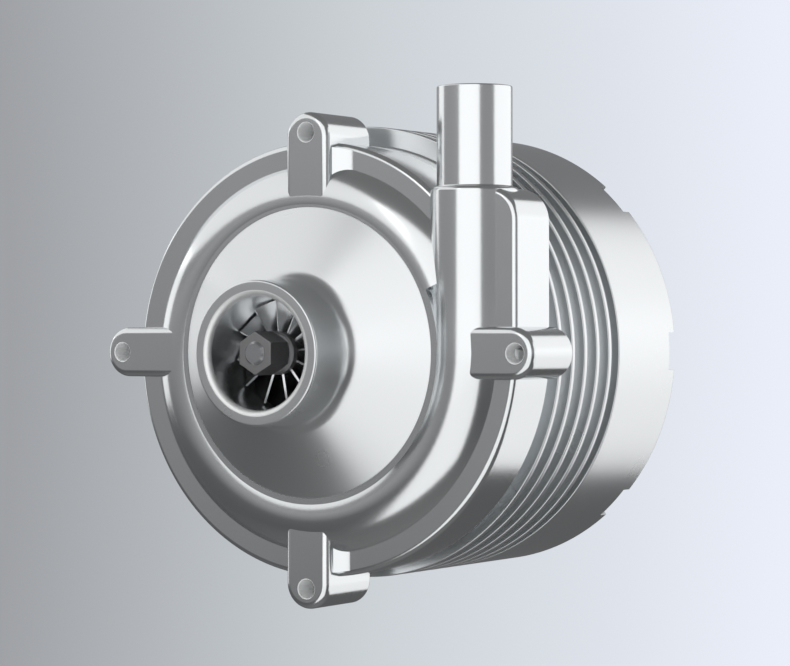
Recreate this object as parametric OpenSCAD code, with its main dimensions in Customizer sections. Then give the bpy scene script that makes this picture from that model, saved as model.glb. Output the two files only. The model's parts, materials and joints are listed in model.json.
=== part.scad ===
// Centrifugal blower with a brushless motor.
// The shaft runs along Y and the air inlet faces -Y. The outlet points up, along +Z.
// The origin is on the shaft's axis, in the plane of the ears' front faces.

/* [Inlet] */
// Distance from the ears' front faces to the inlet's rim
inlet_reach = 19.3; // [16:0.1:24]
// Outer radius of the inlet tube
inlet_r = 15.4; // [14.6:0.1:16.4]
// Radius of the inlet's bore
inlet_bore_r = 12; // [11.6:0.1:12.6]
// Rounding of the rim's outer edge
rim_outer_round = 0.7; // [0.3:0.1:1]
// Rounding of the rim's inner edge
rim_inner_round = 0.9; // [0.3:0.1:1]
// Radius of the hollow flare between tube and cone
inlet_flare = 4; // [2.5:0.1:5]
// Height of the cone above its rim
cone_rise = 6.6; // [5:0.1:8]
// Radius of the cone's rim
cone_r = 31.4; // [30.8:0.1:31.8]

/* [Scroll] */
// Radius at which the scroll leaves the flat ring round the cone
ring_r = 32.9; // [32.4:0.1:33.6]
// Radius of the scroll's round section
scroll_r = 9.6; // [9:0.1:10.2]
// How far the middle of the scroll moves outwards in its three quarter turns
scroll_swell = 4.1; // [3:0.1:4.6]
// Radius of the air channel at the tongue
channel_start_r = 2.3; // [1.9:0.1:2.5]
// Height of the duct's top over the shaft
duct_top = 34.9; // [30:0.1:40]
// Outer radius of the duct
duct_r = 9.4; // [9:0.1:9.5]
// Rounding of the duct's top edge
duct_round = 0.9; // [0.4:0.1:1.2]

/* [Flange and ears] */
// Depth of the flange's front below the ears' faces
flange_front = 3.6; // [2.8:0.1:4.4]
// Depth of the front casting's rear face
casting_depth = 17.5; // [17:0.1:20]
// Radius of the flange's outer edge at nine o'clock
flange_r = 47.1; // [46.6:0.1:47.8]
// How much the flange's radius grows in half a turn
flange_growth = 2.9; // [2.2:0.1:3.4]
// Rounding of the flange's front edge
flange_round = 1.2; // [0.8:0.1:2]
// Rounding of the lug's upper corner
lug_corner = 7; // [5:0.1:9]
// Width of an ear
ear_w = 11; // [10:0.1:12]
// Rounding of an ear's front edge
ear_round = 1.5; // [0.8:0.1:2]
// Rounding of an ear's rear edge
ear_rear_round = 0.5; // [0.3:0.1:1.5]
// Distance from a hole's centre to the ear's tip
ear_tip = 4.4; // [4:0.1:5.4]
// Diameter of an ear's hole, drilled for a 5 mm thread
ear_hole_d = 4.2; // [3.3:0.1:5]
// Depth of an ear's hole
ear_hole_depth = 12; // [8:0.5:14]
// Distance from the shaft to the left hole
reach_left = 49.6; // [48.8:0.1:50.6]
// Distance from the shaft to the right hole
reach_right = 51.5; // [50.4:0.1:52.4]
// Distance from the shaft to the upper hole
reach_top = 47.5; // [47:0.1:49]
// Distance from the shaft to the lower hole
reach_bottom = 50.9; // [50:0.1:52]

/* [Outlet pipe] */
// Outer radius of the outlet pipe
outlet_r = 8; // [7.4:0.1:8.4]
// Wall of the outlet pipe
outlet_wall = 1; // [0.8:0.1:1.4]
// Height of the pipe's top over the shaft
outlet_top = 56.2; // [50:0.1:64]
// Depth of the pipe's seat in the duct
outlet_seat = 12; // [8:0.5:16]
// Width of the shoulder with which the pipe rests on the duct
outlet_shoulder = 0.2; // [0.1:0.05:0.4]

/* [Impeller] */
// Number of blades
blade_count = 12; // [9:1:14]
// Outer radius of the impeller
impeller_r = 25.5; // [24:0.1:26]
// Thickness of a blade
blade_t = 0.8; // [0.6:0.1:1]
// Turn of a blade's front edge ahead of its rear, in degrees
blade_lead = 24; // [0:1:30]
// Distance from the rim to the blades' front edges
blade_set_back = 9.3; // [8:0.1:11]
// Radius of the impeller's hub at the front
hub_r = 4.6; // [4.2:0.1:5.2]
// Gap between blades and cover
blade_gap = 0.4; // [0.3:0.05:0.6]
// Distance across the nut's flats
nut_flats = 8; // [7:0.1:9]
// Length of the nut
nut_l = 6.4; // [4.5:0.1:7]
// Thickness of the washer under the nut
washer_t = 1; // [0.6:0.1:1.2]

/* [Motor housing] */
// Outer radius of the fins and of the rear barrel
housing_r = 50; // [49:0.1:51]
// Depth of the rear rim
housing_end = 78.3; // [77:0.1:84]
// Number of cooling fins
fin_count = 5; // [3:1:5]
// Depth of the first fin's front
fin_start = 22.3; // [21.5:0.1:23]
// Distance between fins
fin_pitch = 5.7; // [5:0.1:5.8]
// Thickness of a fin
fin_t = 1.4; // [1:0.1:2]
// Depth of the grooves between the fins
groove_depth = 4.4; // [3.4:0.1:4.8]
// Wall between the grooves and the motor's cavity
motor_wall = 4.1; // [3.6:0.1:4.6]
// Depth at which the smooth barrel starts
barrel_start = 50; // [49:0.1:51]
// Wall of the barrel
barrel_wall = 3.8; // [3:0.1:4.4]
// Number of notches in the rear rim
notch_count = 8; // [4:1:12]
// Width of a notch
notch_w = 8.6; // [5:0.1:12]
// Depth of a notch
notch_depth = 3.3; // [2:0.1:4]

/* [Shaft and bearings] */
// Radius of the shaft in the impeller
stub_r = 2.5; // [2:0.1:2.6]
// Radius of the shaft in the bearings
shaft_r = 4; // [3.8:0.1:4.2]
// Outer radius of the bearings
bearing_r = 11; // [10.6:0.1:11.6]
// Width of the bearings
bearing_w = 7; // [6.5:0.1:7.5]
// Number of balls in a bearing
ball_count = 7; // [6:1:7]
// Radius of a ball
ball_r = 1.95; // [1.7:0.05:2]

/* [Motor] */
// Thickness of the stator's yoke
yoke_t = 8.4; // [7:0.1:9]
// Length of the stator core
stator_l = 20; // [16:0.5:21]
// Radius of the stator's bore
stator_bore_r = 15.2; // [15.1:0.1:16]
// Outer radius of the magnets
magnet_r = 14; // [13.5:0.1:14.2]
// Number of magnets
magnet_count = 4; // [2:2:8]
// Number of stator teeth
tooth_count = 9; // [6:3:9]

/* [Hidden] */
$fn = 96;
cut = 1; // how far a cut runs past the face that it opens
fit = 0.02; // radial gap of pieces that are pressed or clamped together
seat_gap = 0.1; // radial gap of plates in their seats
run_gap = 0.05; // radial gap of the shaft in its seal
hole_gap = 0.2; // radial gap of a screw in its through hole
set_in = 0.2; // how far a face stands back from the one beside it

wall_front = casting_depth; // where the motor housing starts
front_wall_t = 3.5;
cavity_front = wall_front + front_wall_t;
neck_r = housing_r - groove_depth;
cavity_r = neck_r - motor_wall;

// The air passage from the impeller to the scroll
passage_front = 5.2;
passage_r = cone_r - 0.3;
plate_front = 11.4;
plate_step = 13.5;
plate_skin = 1.5; // metal in front of the seal and of the plate's screw holes
lip_r = cone_r - 1.8;

// The scroll's section: its middle moves outwards while its front stays at the ring
function swell(t) = scroll_swell * max(0, t - 90) / 270;
function scroll_mid(t) = ring_r + swell(t);
function scroll_y(t) = sqrt(pow(scroll_r, 2) - pow(swell(t), 2));
duct_x = scroll_mid(360);
duct_y = scroll_y(360);
channel_end_r = channel_start_r + scroll_swell;
outlet_seat_r = outlet_r - outlet_shoulder;

// Places of the motor's pieces along the shaft
front_bearing_y = cavity_front;
boss_r = bearing_r + 3;
stator_y = 31;
coil_end = 3.6;
shield_y = 56.5;
shield_t = 3.5;
rear_bearing_y = shield_y + 1;
shaft_end_y = rear_bearing_y + bearing_w + 0.4;
cover_t = 2.5;
cover_y = housing_end - notch_depth - cover_t;

// Places of the driver's pieces, from the barrel's bore inwards
barrel_bore_r = housing_r - barrel_wall;
post_corner_r = 3.2;
post_gap = 2;
post_r = barrel_bore_r - post_corner_r - post_gap;
board_gap = 2.8;
board_r = post_r - post_corner_r - board_gap;
board_y = 67;
board_t = 1.6;
standoff_inset = 5;
standoff_r = board_r - standoff_inset;

// Fasteners: radius of thread, of head, and height of head
m25 = [1.25, 2.25, 1.7];
m3 = [1.5, 2.75, 2];
m4 = [2, 3.5, 2.8];

silver = [0.75, 0.76, 0.77];
dark_steel = [0.32, 0.32, 0.33];
steel = [0.6, 0.61, 0.63];

// Turns a shape that stands on Z so that it runs back along Y, with its foot at depth y
module back_from(y) {
    translate([0, y, 0]) rotate([-90, 0, 0]) children();
}

// Revolves an outline, given as radius and depth, round the shaft's axis
module revolve(points) {
    rotate([-90, 0, 0]) rotate_extrude() polygon(points);
}

// A ring or disc on the shaft's axis between two depths
module ring(outer, inner, y0, y1) {
    back_from(y0) difference() {
        cylinder(r = outer, h = y1 - y0);
        if (inner > 0) translate([0, 0, -cut]) cylinder(r = inner, h = y1 - y0 + 2 * cut);
    }
}

// Places copies evenly round the shaft's axis, at a radius from it
module around(count, r, start = 0) {
    for (i = [0 : count - 1]) {
        rotate([0, -start - i * 360 / count, 0]) translate([r, 0, 0]) children();
    }
}

// A pan-head screw whose head sits at depth y and whose thread points to the front
module screw_to_front(y, thread, length) {
    back_from(y) difference() {
        cylinder(r = thread[1], h = thread[2], $fn = 32);
        translate([0, 0, thread[2] / 2]) cylinder(r = thread[0] * 0.8, h = thread[2], $fn = 6);
    }
    back_from(y - length) cylinder(r = thread[0] - fit, h = length, $fn = 32);
}

// Points of an arc between two angles
function arc(x, y, r, a0, a1, steps) =
    [for (i = [0 : steps]) let (a = a0 + (a1 - a0) * i / steps) [x + r * cos(a), y + r * sin(a)]];

// A solid through a row of closed rings of points
module skin(rings) {
    sides = len(rings[0]);
    last = len(rings) - 1;
    polyhedron(
        points = [for (r = rings) for (p = r) p],
        faces = concat(
            [[for (j = [0 : sides - 1]) j]],
            [for (i = [0 : last - 1]) for (j = [0 : sides - 1])
                [i * sides + j, (i + 1) * sides + j, (i + 1) * sides + (j + 1) % sides]],
            [for (i = [0 : last - 1]) for (j = [0 : sides - 1])
                [i * sides + j, (i + 1) * sides + (j + 1) % sides, i * sides + (j + 1) % sides]],
            [[for (j = [sides - 1 : -1 : 0]) last * sides + j]]
        )
    );
}

// The inlet tube, its flare, the cone and the hollow in which the impeller turns
cone_inset = 1;
cone_slope = atan2(cone_rise, cone_r - inlet_r - cone_inset);
flare_x = inlet_r + inlet_flare;
flare_r = flare_x - inlet_flare * sin(cone_slope);
flare_y = -(cone_r - flare_r) * tan(cone_slope);
flare_mid_y = flare_y - inlet_flare * cos(cone_slope);
throat_set_back = 1.6;
throat_y = blade_set_back - inlet_reach + throat_set_back;
shroud_gap = 1;
shroud_x = impeller_r + shroud_gap;
function shroud(extra, y0) = [for (i = [0 : 14]) let (a = i * 90 / 14)
    [shroud_x - (shroud_x - inlet_bore_r + extra) * cos(a), y0 + (passage_front - throat_y + extra) * sin(a)]];

module inlet_cover() {
    color(silver) revolve(concat(
        arc(inlet_bore_r + rim_inner_round, rim_inner_round - inlet_reach, rim_inner_round, 180, 270, 6),
        arc(inlet_r - rim_outer_round, rim_outer_round - inlet_reach, rim_outer_round, 270, 360, 6),
        arc(flare_x, flare_mid_y, inlet_flare, 180, 90 + cone_slope, 10),
        [[cone_r - fit, 0], [cone_r - fit, passage_front]],
        [for (i = [14 : -1 : 0]) shroud(0, throat_y)[i]]
    ));
}

// The scroll's tube and duct as rings of points: round the shaft first, then straight up.
// Each section has a point at the flat ring's edge, so that the two meet in one clean line
tube_lift = 0.05;
function ring_point(t) = 270 - asin(swell(t) / scroll_r);
function section(t, r, sides) = [for (j = [0 : sides - 1]) let (
        a = ring_point(t) + j * 360 / sides,
        out = scroll_mid(t) + r * cos(a)
    ) [out * cos(t), scroll_y(t) - tube_lift + r * sin(a), out * sin(t)]];
function duct_section(z, r, sides) = [for (j = [0 : sides - 1]) let (a = ring_point(360) + j * 360 / sides)
    [duct_x + r * cos(a), duct_y + r * sin(a), z]];

// Angles at which the tube and the air channel start, and the tube's end inside the duct
tube_from = 24;
channel_from = 56;
tube_end = 4;
tube_inset = 0.1;
function turn_from(start, steps) = [for (i = [0 : steps]) start + (360 - start) * i / steps];

module scroll_body() {
    sides = 24;
    skin(concat(
        [for (t = turn_from(tube_from, 42)) section(t, scroll_r, sides)],
        [duct_section(tube_end, duct_r - tube_inset, sides)]
    ));
    translate([duct_x, duct_y, 0]) rotate_extrude() polygon(concat(
        [[0, 0], [duct_r, 0]],
        arc(duct_r - duct_round, duct_top - duct_round, duct_round, 0, 90, 4),
        [[0, duct_top]]
    ));
}

module scroll_channel() {
    sides = 16;
    skin(concat(
        [for (t = turn_from(channel_from, 26)) section(t, channel_start_r + swell(t), sides)],
        [duct_section(cut, channel_end_r, sides)]
    ));
    translate([duct_x, duct_y, 0]) cylinder(r = channel_end_r + seat_gap, h = duct_top - outlet_seat + cut);
}

// Section of the casting's rim with its front edge rounded, as radius and depth
function rim_profile(r, round_r, front, back) = concat(
    [[0, back], [r, back]],
    arc(r - round_r, front + round_r, round_r, 0, -90, 5),
    [[0, front]]
);

// A quarter of a turned piece, counter-clockwise from an angle
module quarter(from, points) {
    rotate([0, -from, 0]) rotate([-90, 0, 0]) rotate([0, 0, -90]) rotate_extrude(angle = 90) polygon(points);
}

// The flange: four quarters whose radius grows by a step at each, then straight up beside the duct
flange_step = flange_growth / 2;
flange_side_x = flange_r + flange_growth;
lug_top = duct_top - set_in;
lug_x = flange_side_x - lug_corner;
function flange_profile(r) = rim_profile(r, flange_round, flange_front, casting_depth);

module flange() {
    h = flange_step / 2;
    centres = [[-h, h], [-h, -h], [h, -h], [h, h]];
    for (i = [0 : 3]) {
        translate([centres[i][0], 0, centres[i][1]]) {
            quarter(i * 90, flange_profile(flange_r - h + (i - 1) * flange_step));
        }
    }
    translate([lug_x, 0, h]) linear_extrude(lug_top - lug_corner - h) polygon(flange_profile(lug_corner));
    translate([lug_x, 0, lug_top - lug_corner]) quarter(0, flange_profile(lug_corner));
    translate([lug_x, 0, lug_top - lug_corner]) rotate([0, -90, 0]) linear_extrude(lug_x - duct_x + duct_r / 2) {
        polygon(flange_profile(lug_corner));
    }
    translate([0, flange_front, h]) cube([lug_x, casting_depth - flange_front, lug_top - lug_corner - h]);
}

// One ear along +X: a long bar with a round tip and a rounded front edge
module ear(reach, root) {
    half = ear_w / 2;
    back = casting_depth - set_in;
    outline = concat(
        [[0, 0]],
        arc(half - ear_round, ear_round, ear_round, 270, 360, 5),
        arc(half - ear_rear_round, back - ear_rear_round, ear_rear_round, 0, 90, 5),
        [[0, back]]
    );
    tip = reach + ear_tip - half;
    translate([tip, 0, 0]) {
        quarter(0, outline);
        quarter(270, outline);
        rotate([0, -90, 0]) linear_extrude(tip - root) polygon(outline);
        mirror([0, 0, 1]) rotate([0, -90, 0]) linear_extrude(tip - root) polygon(outline);
    }
}

ears = [[reach_right, 0], [reach_top, 90], [reach_left, 180], [reach_bottom, 270]];
ear_root = 34;
ring_lap = 0.1;

module scroll_housing() {
    color(silver) difference() {
        union() {
            intersection() {
                scroll_body();
                back_from(-scroll_r) cylinder(r = housing_r + duct_top, h = scroll_r + casting_depth - set_in / 2);
            }
            flange();
            ring(ring_r + ring_lap, 0, 0, casting_depth);
            for (e = ears) rotate([0, -e[1], 0]) ear(e[0], ear_root);
        }
        scroll_channel();
        back_from(-cut) cylinder(r = cone_r, h = passage_front + cut);
        back_from(passage_front - cut) cylinder(r = passage_r, h = plate_step - passage_front + cut);
        back_from(plate_step - cut) cylinder(r = lip_r, h = casting_depth - plate_step + 2 * cut);
        for (e = ears) rotate([0, -e[1], 0]) translate([e[0], 0, 0]) {
            back_from(-cut) cylinder(d = ear_hole_d, h = ear_hole_depth + cut);
        }
        translate([duct_x, duct_y, duct_top - outlet_seat]) cylinder(r = outlet_seat_r + fit, h = outlet_seat + cut);
    }
}

module outlet_pipe() {
    edge = outlet_wall / 4;
    color(silver) translate([duct_x, duct_y, 0]) rotate_extrude() polygon([
        [outlet_r - outlet_wall, duct_top - outlet_seat],
        [outlet_seat_r, duct_top - outlet_seat],
        [outlet_seat_r, duct_top],
        [outlet_r, duct_top],
        [outlet_r, outlet_top - edge],
        [outlet_r - edge, outlet_top],
        [outlet_r - outlet_wall + edge, outlet_top],
        [outlet_r - outlet_wall, outlet_top - edge]
    ]);
}

// Impeller: a curved hub and back disc with thin blades between hub and cover
blade_front = blade_set_back - inlet_reach;
hub_front = nut_l + washer_t - inlet_reach;
disc_t = 1.6;
impeller_back = plate_front - blade_gap;
disc_front = impeller_back - disc_t;
blade_root = 0.3; // how far a blade's foot stands in the hub
blade_nose = 0.8; // how far a blade's tip starts behind its foot
hub_edge = 0.4;
function hub_line(s) = let (a = s * 90)
    [impeller_r - (impeller_r - hub_r) * cos(a), blade_front + (disc_front - blade_front) * sin(a)];
function tip_line(s) = let (a = s * acos(1 / (shroud_x - inlet_bore_r + blade_gap)))
    [shroud_x - (shroud_x - inlet_bore_r + blade_gap) * cos(a),
        (s == 0 ? blade_front + blade_nose : throat_y + (passage_front - throat_y + blade_gap) * sin(a))];
blade_steps = 9;
// Angle of the blade at a place along the flow, in degrees
function blade_turn(s) = blade_lead * pow(1 - s, 2);
function blade_ring(s) = let (
        hub = hub_line(s) + [-blade_root, blade_root],
        tip = tip_line(s),
        half = blade_t / 2,
        turn = blade_turn(s)
    ) [for (p = [[hub, half], [tip, half * 0.7], [tip, -half * 0.7], [hub, -half]])
        [p[0][0] * cos(turn) - p[1] * sin(turn), p[0][1], p[0][0] * sin(turn) + p[1] * cos(turn)]];

module blade() {
    skin([for (i = [0 : blade_steps]) blade_ring(i / blade_steps)]);
}

module impeller() {
    color(dark_steel) difference() {
        union() {
            revolve(concat(
                [[0, hub_front], [hub_r - hub_edge, hub_front], [hub_r, hub_front + hub_edge]],
                [for (i = [0 : 12]) hub_line(i / 12)],
                [[impeller_r, impeller_back], [0, impeller_back]]
            ));
            around(blade_count, 0) blade();
        }
        back_from(hub_front - cut) cylinder(r = stub_r + fit, h = impeller_back - hub_front + 2 * cut);
    }
}

module impeller_nut() {
    corner_r = nut_flats / sqrt(3);
    bevel = corner_r - nut_flats / 2;
    color(dark_steel) difference() {
        intersection() {
            back_from(-inlet_reach) rotate([0, 0, 30]) cylinder(r = corner_r, h = nut_l, $fn = 6);
            revolve([[0, -inlet_reach], [nut_flats / 2 - 0.1, -inlet_reach],
                [corner_r + cut, bevel + cut - inlet_reach], [corner_r + cut, nut_l - inlet_reach], [0, nut_l - inlet_reach]]);
        }
        back_from(-inlet_reach - cut) cylinder(r = stub_r + fit, h = nut_l + 2 * cut);
    }
}

module nut_washer() {
    color(steel) ring(nut_flats / 2, stub_r + fit, nut_l - inlet_reach, hub_front);
}

// Back plate: closes the scroll behind the impeller and clamps the casting to the motor
plate_screw_r = (lip_r + boss_r) / 2;
plate_screws = 6;
seal_r = 8;
seal_set_in = 1;
module back_plate() {
    color(silver) difference() {
        union() {
            ring(passage_r - seat_gap, 0, plate_front, plate_step);
            ring(lip_r - seat_gap, 0, plate_step, wall_front);
        }
        back_from(plate_front - cut) cylinder(r = shaft_r + 1, h = wall_front);
        back_from(plate_front + plate_skin) cylinder(r = seal_r, h = wall_front);
        around(plate_screws, plate_screw_r) back_from(plate_front + plate_skin) {
            cylinder(r = m4[0], h = wall_front, $fn = 32);
        }
    }
}

module back_plate_screws() {
    length = cavity_front - plate_front - plate_skin - hole_gap;
    color(steel) around(plate_screws, plate_screw_r) screw_to_front(cavity_front, m4, length);
}

module shaft_seal() {
    color([0.12, 0.12, 0.13]) ring(seal_r - fit, shaft_r + run_gap, plate_front + plate_skin, wall_front - seal_set_in);
}

seal_ring_r = lip_r + 5;
seal_section = 0.85;
seal_groove = 2;
module sealing_ring() {
    color([0.1, 0.1, 0.1]) rotate([-90, 0, 0]) rotate_extrude() {
        translate([seal_ring_r, wall_front + (seal_groove - set_in) / 2]) circle(r = seal_section, $fn = 24);
    }
}

// Motor housing: front wall with the bearing seat, finned neck, plain barrel and notched rim
module motor_housing() {
    edge = 0.3;
    color(silver) difference() {
        revolve(concat(
            [[shaft_r + 5, wall_front], [neck_r, wall_front]],
            [for (i = [0 : fin_count - 1]) let (y = fin_start + i * fin_pitch) each [
                [neck_r, y], [housing_r - edge, y], [housing_r, y + edge],
                [housing_r, y + fin_t - edge], [housing_r - edge, y + fin_t], [neck_r, y + fin_t]]],
            [[neck_r, barrel_start], [housing_r - edge, barrel_start], [housing_r, barrel_start + edge],
                [housing_r, housing_end - 2 * edge], [housing_r - 2 * edge, housing_end],
                [barrel_bore_r, housing_end], [barrel_bore_r, shield_y], [cavity_r, shield_y],
                [cavity_r, cavity_front], [boss_r, cavity_front], [boss_r, cavity_front + bearing_w],
                [bearing_r, cavity_front + bearing_w], [bearing_r, cavity_front], [shaft_r + 5, cavity_front]]
        ));
        rotate([-90, 0, 0]) rotate_extrude() translate([seal_ring_r - seal_groove / 2, wall_front - cut]) {
            square([seal_groove, seal_groove - set_in + cut]);
        }
        around(notch_count, barrel_bore_r - cut) translate([0, housing_end - notch_depth, -notch_w / 2]) {
            cube([barrel_wall + 2 * cut, notch_depth + cut, notch_w]);
        }
        around(plate_screws, plate_screw_r) back_from(wall_front - cut) {
            cylinder(r = m4[0] + hole_gap, h = front_wall_t + 2 * cut, $fn = 32);
        }
        around(4, shield_screw_r, 45) back_from(shield_y - shield_screw_l) {
            cylinder(r = m25[0], h = shield_screw_l + cut, $fn = 32);
        }
    }
}

// Stepped shaft: a thin front end for the impeller, a thick part for bearings and rotor
module shaft() {
    tip = 0.5;
    color(steel) revolve([
        [0, -inlet_reach - 0.6], [stub_r - tip, -inlet_reach - 0.6], [stub_r, tip - inlet_reach - 0.6],
        [stub_r, impeller_back], [shaft_r, impeller_back], [shaft_r, shaft_end_y - tip],
        [shaft_r - tip, shaft_end_y], [0, shaft_end_y]
    ]);
}

// Ball bearing pieces. The grooves clear the balls by the same gap on both rings
ball_path_r = (shaft_r + bearing_r) / 2;
ball_gap = 0.03;
race_gap = 1.35;
pocket_gap = 0.1;
cage_half_t = 0.8;
cage_rim = 0.6; // metal in front of and behind a ball
module bearing_race(inner, outer, y) {
    difference() {
        ring(outer, inner, y, y + bearing_w);
        back_from(y + bearing_w / 2) rotate_extrude() translate([ball_path_r, 0]) circle(r = ball_r + ball_gap);
    }
}
module bearing_outer(y) {
    color(steel) bearing_race(ball_path_r + race_gap, bearing_r - fit, y);
}
module bearing_inner(y) {
    color(steel) bearing_race(shaft_r + fit, ball_path_r - race_gap, y);
}
module bearing_balls(y) {
    color(silver) around(ball_count, ball_path_r) translate([0, y + bearing_w / 2, 0]) sphere(r = ball_r);
}
module bearing_cage(y) {
    middle = y + bearing_w / 2;
    half_w = ball_r + cage_rim;
    color([0.7, 0.55, 0.25]) difference() {
        ring(ball_path_r + cage_half_t, ball_path_r - cage_half_t, middle - half_w, middle + half_w);
        around(ball_count, ball_path_r) translate([-cage_half_t - cut, middle, 0]) rotate([0, 90, 0]) {
            cylinder(r = ball_r + pocket_gap, h = 2 * (cage_half_t + cut));
        }
    }
}

// Wave spring between the end shield and the rear bearing's outer ring
module preload_spring() {
    color(steel) ring(bearing_r - 0.4, bearing_r - 2.2, shield_y + 0.1, rear_bearing_y - 0.1);
}

module rotor_core() {
    color(steel) ring(magnet_inner_r, shaft_r + fit, stator_y - 0.5, stator_y + stator_l + 0.5);
}

magnet_inner_r = 8.5;
module rotor_magnets() {
    gap = 4;
    span = 360 / magnet_count - gap;
    color([0.25, 0.25, 0.27]) around(magnet_count, 0) back_from(stator_y - 0.5) rotate([0, 0, -span / 2]) {
        rotate_extrude(angle = span) translate([magnet_inner_r + fit, 0]) {
            square([magnet_r - magnet_inner_r - fit, stator_l + 1]);
        }
    }
}

module magnet_sleeve() {
    color([0.15, 0.15, 0.16]) ring(magnet_r + 0.5, magnet_r + fit, stator_y - 0.5, stator_y + stator_l + 0.5);
}

// Stator: a round yoke with teeth that widen at the bore
stator_r = cavity_r - seat_gap;
yoke_r = stator_r - yoke_t;
tooth_w = 5;
tip_t = 1.6;
module tooth_sector(share) {
    span = 360 / tooth_count * share;
    polygon(concat([[0, 0]], [for (i = [0 : 4]) let (a = -span / 2 + span * i / 4) 60 * [cos(a), sin(a)]]));
}
module stator_core() {
    color(steel) back_from(stator_y) linear_extrude(stator_l) {
        difference() {
            circle(r = stator_r);
            circle(r = yoke_r);
        }
        difference() {
            for (i = [0 : tooth_count - 1]) rotate(i * 360 / tooth_count) {
                translate([0, -tooth_w / 2]) square([yoke_r + 1, tooth_w]);
                intersection() {
                    circle(r = stator_bore_r + tip_t);
                    tooth_sector(0.86);
                }
            }
            circle(r = stator_bore_r);
        }
    }
}

// Plastic end caps that keep the wire off the core
liner_t = 1.2;
module slot_insulators() {
    color([0.9, 0.88, 0.8]) for (y = [stator_y - liner_t, stator_y + stator_l]) {
        back_from(y) linear_extrude(liner_t) {
            difference() {
                circle(r = yoke_r + 3);
                circle(r = yoke_r);
            }
            difference() {
                for (i = [0 : tooth_count - 1]) rotate(i * 360 / tooth_count) {
                    translate([0, -tooth_w / 2]) square([yoke_r + 1, tooth_w]);
                }
                circle(r = stator_bore_r + 0.6);
            }
        }
    }
}

// One coil round each tooth
coil_in_r = stator_bore_r + tip_t + 2.2;
coil_out_r = yoke_r - 1.2;
coil_t = 2;
coil_gap = 0.2;
module windings() {
    side = tooth_w / 2 + coil_gap;
    color([0.72, 0.42, 0.2]) around(tooth_count, coil_in_r) difference() {
        translate([0, stator_y - coil_end, -side - coil_t]) {
            cube([coil_out_r - coil_in_r, stator_l + 2 * coil_end, 2 * (side + coil_t)]);
        }
        translate([-cut, stator_y - liner_t - coil_gap, -side]) {
            cube([coil_out_r - coil_in_r + 2 * cut, stator_l + 2 * (liner_t + coil_gap), 2 * side]);
        }
    }
}

// End shield: carries the rear bearing and closes the motor off from the driver
head_gap = 0.25;
shield_screw_r = barrel_bore_r - m25[1] - head_gap;
shield_screw_l = 6;
lead_r = 0.9;
lead_inset = 3.8;
lead_ring_r = coil_out_r - lead_inset;
module shield_hole(r) {
    back_from(shield_y - cut) cylinder(r = r, h = shield_t + 2 * cut, $fn = 32);
}
module end_shield() {
    color(silver) difference() {
        union() {
            ring(barrel_bore_r - seat_gap, 0, shield_y, shield_y + shield_t);
            ring(boss_r, 0, shield_y - 1.5, rear_bearing_y + bearing_w);
        }
        back_from(shield_y) cylinder(r = bearing_r, h = 2 * bearing_w);
        back_from(shield_y - 1.5 - cut) cylinder(r = shaft_r + 3, h = 2 * bearing_w);
        around(4, shield_screw_r, 45) shield_hole(m25[0] + hole_gap);
        around(4, post_r) shield_hole(m3[0]);
        around(4, standoff_r, 45) shield_hole(m3[0]);
        around(3, lead_ring_r) shield_hole(2 * lead_r);
    }
}

module end_shield_screws() {
    length = shield_t + shield_screw_l - hole_gap;
    color(steel) around(4, shield_screw_r, 45) screw_to_front(shield_y + shield_t, m25, length);
}

// Driver board with its parts, held off the end shield
module driver_board() {
    color([0.1, 0.35, 0.2]) difference() {
        ring(board_r, 0, board_y, board_y + board_t);
        around(4, standoff_r, 45) back_from(board_y - cut) {
            cylinder(r = m3[0] + hole_gap, h = board_t + 2 * cut, $fn = 32);
        }
    }
}

chip = [6, 1.4, 6];
chip_inset = 16;
driver_chip = [8, 1.6, 8];
capacitor_r = 3;
capacitor_l = 4.5;
capacitor_inset = 10;
module flat_chip(size) {
    translate([-size[0] / 2, board_y - size[1], -size[2] / 2]) cube(size);
}
module board_components() {
    color([0.15, 0.15, 0.16]) around(6, board_r - chip_inset, 30) flat_chip(chip);
    color([0.15, 0.15, 0.16]) flat_chip(driver_chip);
    color([0.3, 0.3, 0.36]) around(3, board_r - capacitor_inset, 60) back_from(board_y - capacitor_l) {
        cylinder(r = capacitor_r, h = capacitor_l, $fn = 32);
    }
}

// A hexagonal spacer on the end shield, with a stud in front and a tapped hole at the back
tapped_l = 6;
module spacer(corner_r, end_y) {
    length = end_y - shield_y - shield_t;
    back_from(shield_y + shield_t) difference() {
        cylinder(r = corner_r, h = length, $fn = 6);
        translate([0, 0, length - tapped_l]) cylinder(r = m3[0], h = tapped_l + cut, $fn = 32);
    }
    back_from(shield_y + set_in) cylinder(r = m3[0] - fit, h = shield_t, $fn = 32);
}

module board_standoffs() {
    color([0.75, 0.62, 0.3]) around(4, standoff_r, 45) spacer(m3[1], board_y);
}

module board_screws() {
    color(steel) around(4, standoff_r, 45) screw_to_front(board_y + board_t, m3, board_t + tapped_l - set_in);
}

// Three leads from the windings through the end shield to the board
module phase_leads() {
    start = stator_y + stator_l + coil_end;
    color([0.75, 0.2, 0.15]) around(3, lead_ring_r) back_from(start) cylinder(r = lead_r, h = board_y - start, $fn = 16);
}

// Posts that carry the rear cover
module cover_posts() {
    color([0.75, 0.62, 0.3]) around(4, post_r) spacer(post_corner_r, cover_y);
}

module rear_cover() {
    color(silver) difference() {
        ring(barrel_bore_r - seat_gap, 0, cover_y, cover_y + cover_t);
        around(4, post_r) back_from(cover_y - cut) cylinder(r = m3[0] + hole_gap, h = cover_t + 2 * cut, $fn = 32);
    }
}

module rear_cover_screws() {
    color(steel) around(4, post_r) screw_to_front(cover_y + cover_t, m3, cover_t + tapped_l - set_in);
}

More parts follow.
